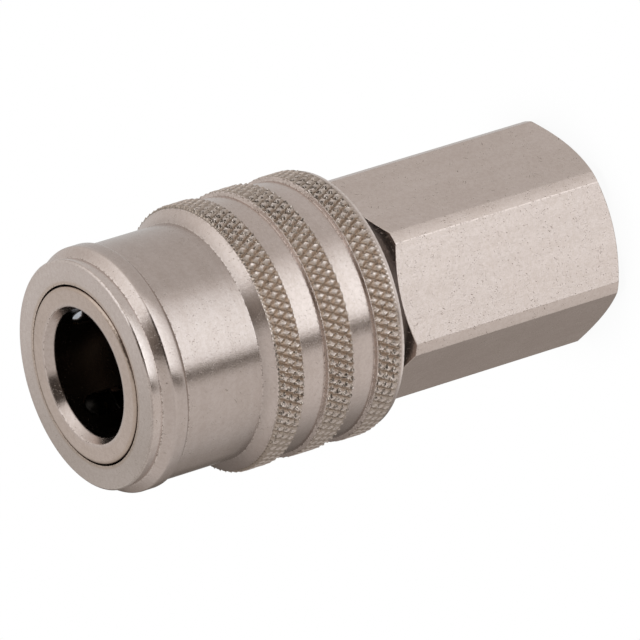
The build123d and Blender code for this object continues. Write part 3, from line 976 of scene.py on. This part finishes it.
def room_light(tree, ray):
    """How bright the studio is in each direction: walls, panels, the dark room round the camera, table."""
    right, up, front = (dot_product(tree, ray, axis) for axis in (STUDIO_RIGHT, STUDIO_UP, STUDIO_FRONT))
    level = settings().studio_level
    # soft panels over and beside the camera: the left one reaches further back
    left_panel = smooth_step(tree, front, -0.5, 0.7, 0.0, 0.85 * level)
    right_panel = smooth_step(tree, front, 0.19, 0.5, 0.0, 1.5 * level)
    panels = mix_value(tree, smooth_step(tree, right, -0.1, 0.4), left_panel, right_panel)
    above = smooth_step(tree, up, -0.12, 0.0)
    left_wall = smooth_step(tree, right, -0.3, -0.65, 0.0, 0.1 * level)
    # a dark strip between the two panels
    between = times(tree, smooth_step(tree, right, -0.3, -0.1), smooth_step(tree, right, 0.45, 0.25))
    panels = times(tree, panels, times_plus(tree, between, -0.75, 1.0))
    total = math_node(tree, "ADD", times_plus(tree, panels, above, level), left_wall)
    # the table is brighter near the right panel
    near_right = times(tree, smooth_step(tree, right, 0.55, 0.85), smooth_step(tree, up, -0.15, -0.3))
    total = times_plus(tree, near_right, 0.2 * level, total)
    # the dark room round the camera, and its thin ends at both sides
    top_left = math_node(
        tree, "ADD", smooth_step(tree, right, -0.95, -0.2, 0.0, 0.45),
        smooth_step(tree, right, -0.15, 0.15, 0.0, 0.25))
    top = math_node(tree, "MINIMUM", top_left, smooth_step(tree, right, 0.25, 0.72, 0.7, -0.1))
    below_top = smooth_step(tree, math_node(tree, "SUBTRACT", up, top), -0.03, 0.03, 1.0, 0.0)
    above_table = smooth_step(tree, up, -0.27, -0.2)
    gap = times(tree, times(tree, below_top, above_table), smooth_step(tree, front, 0.2, 0.32))
    strength = math_node(
        tree, "MAXIMUM", smooth_step(tree, right, 0.38, 0.52, 0.94, 0.45),
        smooth_step(tree, right, 0.62, 0.76, 0.45, 0.84))
    gap = times(tree, times(tree, gap, strength), smooth_step(tree, right, -0.75, -0.45, 0.65, 1.0))
    total = times(tree, total, math_node(tree, "SUBTRACT", 1.0, gap))
    # the table lies in shade behind the coupling
    behind = dot_product(tree, ray, BEHIND_COUPLING)
    wide_shade = smooth_step(tree, behind, 0.5, 1.0, 0.0, 0.52)
    deep_shade = smooth_step(tree, behind, 0.93, 1.0, 0.0, 0.27)
    shade = times(tree, math_node(tree, "ADD", wide_shade, deep_shade), smooth_step(tree, up, 0.05, -0.25))
    return times(tree, total, math_node(tree, "SUBTRACT", 1.0, shade))


def studio_world():
    """A white background for the camera, and a soft studio with pale walls for everything else."""
    world = bpy.data.worlds.new("studio")
    world.use_nodes = True
    tree = world.node_tree
    tree.nodes.clear()
    room = room_light(tree, tree.nodes.new("ShaderNodeTexCoord").outputs["Generated"])
    # dim parts of the room are a little warm, the panels a little cool
    tint = mix_color(tree, smooth_step(tree, room, 0.1, 0.6), (1.0, 0.87, 0.77, 1.0), WHITE)
    tint = mix_color(tree, smooth_step(tree, room, 0.75, 1.6), tint, (1.0, 1.07, 1.13, 1.0))
    path = tree.nodes.new("ShaderNodeLightPath").outputs
    mirrored = math_node(tree, "MAXIMUM", path["Is Glossy Ray"], path["Is Transmission Ray"])
    strength = mix_value(tree, mirrored, 0.9, room)
    strength = mix_value(tree, path["Is Camera Ray"], strength, 1.0)
    color = mix_color(tree, path["Is Camera Ray"], tint, WHITE)
    background = shader_node(tree, "ShaderNodeBackground", {"Color": color, "Strength": strength})
    output = tree.nodes.new("ShaderNodeOutputWorld")
    tree.links.new(background.outputs["Background"], output.inputs["Surface"])
    bpy.context.scene.world = world


def floor_material():
    """Pale floor: white to the camera, with a painted contact shadow where the coupling stands on it."""
    material = bpy.data.materials.new("pale_floor")
    material.use_nodes = True
    tree = material.node_tree
    tree.nodes.clear()
    seen = tree.nodes.new("ShaderNodeLightPath").outputs["Is Camera Ray"]
    contact = shader_node(tree, "ShaderNodeAmbientOcclusion", {"Distance": 8 * MM}, samples=8)
    painted_shadow_tone = smooth_step(tree, contact.outputs["AO"], 0.3, 0.9, 0.95, 1.0)
    glow = shader_node(tree, "ShaderNodeEmission", {"Color": WHITE, "Strength": painted_shadow_tone})
    paint = shader_node(tree, "ShaderNodeBsdfDiffuse", {"Color": (0.82, 0.82, 0.82, 1.0)})
    both = shader_node(
        tree, "ShaderNodeMixShader", {0: seen, 1: paint.outputs["BSDF"], 2: glow.outputs["Emission"]})
    output = tree.nodes.new("ShaderNodeOutputMaterial")
    tree.links.new(both.outputs["Shader"], output.inputs["Surface"])
    return material


def make_floor(scene):
    """A round floor just under the coupling, which mirrors don't show."""
    work = bmesh.new()
    bmesh.ops.create_circle(work, cap_ends=True, segments=96, radius=FLOOR_RADIUS)
    bmesh.ops.translate(work, verts=work.verts, vec=(0, 0, ADAPTER_LOW.z - FLOOR_GAP))
    mesh = bpy.data.meshes.new("floor")
    work.to_mesh(mesh)
    work.free()
    mesh.materials.append(floor_material())
    floor = bpy.data.objects.new("floor", mesh)
    floor.visible_glossy = False
    scene.collection.objects.link(floor)


def make_camera(scene):
    """A camera that sees the coupling as in the photograph."""
    chosen = settings()
    camera = bpy.data.objects.new("camera", bpy.data.cameras.new("camera"))
    camera.data.lens = LENS
    camera.data.sensor_width = SENSOR_WIDTH
    camera.data.clip_start = 0.01
    back = Vector((
        math.cos(chosen.view_elevation) * math.cos(chosen.view_azimuth),
        math.cos(chosen.view_elevation) * math.sin(chosen.view_azimuth),
        math.sin(chosen.view_elevation)))
    level = Vector((0, 0, 1)).cross(back).normalized()
    right = Matrix.Rotation(chosen.view_roll, 3, back) @ level
    turn = Matrix((right, back.cross(right), back)).transposed()
    place = Vector(VIEW_TARGET) * MM + back * chosen.view_distance
    camera.matrix_world = Matrix.Translation(place) @ turn.to_4x4()
    scene.collection.objects.link(camera)
    scene.camera = camera


class COUPLING_OT_stage(bpy.types.Operator):
    """Make the floor, the studio light and the camera"""

    bl_idname = "coupling.stage"
    bl_label = "Stage"

    def execute(self, context):
        context.scene.view_settings.view_transform = "Standard"
        studio_world()
        make_floor(context.scene)
        make_camera(context.scene)
        return {"FINISHED"}


# Panel and registration


class COUPLING_PT_pieces(bpy.types.Panel):
    """Lists the coupling's pieces and settings"""

    bl_idname = "COUPLING_PT_pieces"
    bl_label = "Quick coupling"
    bl_space_type = "VIEW_3D"
    bl_region_type = "UI"
    bl_category = "Coupling"

    def draw(self, context):
        for name in CouplingSettings.__annotations__:
            self.layout.prop(context.scene.coupling, name)
        for operator in OPERATORS:
            self.layout.operator(operator.bl_idname)


OPERATORS = (
    COUPLING_OT_stage,
    COUPLING_OT_hex_adapter,
    COUPLING_OT_pipe_thread,
    COUPLING_OT_socket_body,
    COUPLING_OT_locking_sleeve,
    COUPLING_OT_knurl,
    COUPLING_OT_springs,
    COUPLING_OT_inner_pieces,
)
CLASSES = (CouplingSettings, *OPERATORS, COUPLING_PT_pieces)


def register():
    for item in CLASSES:
        bpy.utils.register_class(item)
    bpy.types.Scene.coupling = PointerProperty(type=CouplingSettings)


def unregister():
    del bpy.types.Scene.coupling
    for item in reversed(CLASSES):
        bpy.utils.unregister_class(item)


def main():
    register()
    build_turning_marks()
    build_satin_grain()
    build_handling_marks()
    build_edge_wear()
    build_zone()
    build_drawn_lines()
    bpy.ops.coupling.stage()
    bpy.ops.coupling.hex_adapter()
    bpy.ops.coupling.pipe_thread()
    bpy.ops.coupling.socket_body()
    bpy.ops.coupling.locking_sleeve()
    bpy.ops.coupling.knurl()
    bpy.ops.coupling.springs()
    bpy.ops.coupling.inner_pieces()


if __name__ == "__main__":
    main()
